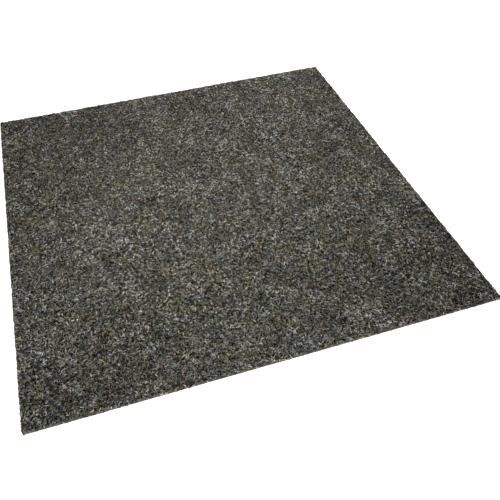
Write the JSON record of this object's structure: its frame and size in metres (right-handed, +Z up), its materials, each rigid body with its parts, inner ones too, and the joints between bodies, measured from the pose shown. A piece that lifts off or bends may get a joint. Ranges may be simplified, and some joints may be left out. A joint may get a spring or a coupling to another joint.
{
  "type": "needle-felt carpet tile",
  "caption": "Flat square tile of mottled charcoal needle-punched felt, with upright cut edges and a softly rounded upper rim, for laying edge to edge as floor covering.",
  "frame": {"origin": "middle of the underside, which is the plane that the tile lies on", "axes": "+X along the width, +Y along the length away from the viewer, +Z up through the walking face"},
  "size_m": [0.5, 0.5, 0.005],
  "materials": {
    "needle_felt": "matte needle-punched fibre, charcoal mottled with black, grey, olive and ochre"
  },
  "bodies": {
    "root": {"felt_tile": "needle_felt"}
  },
  "joints": []
}
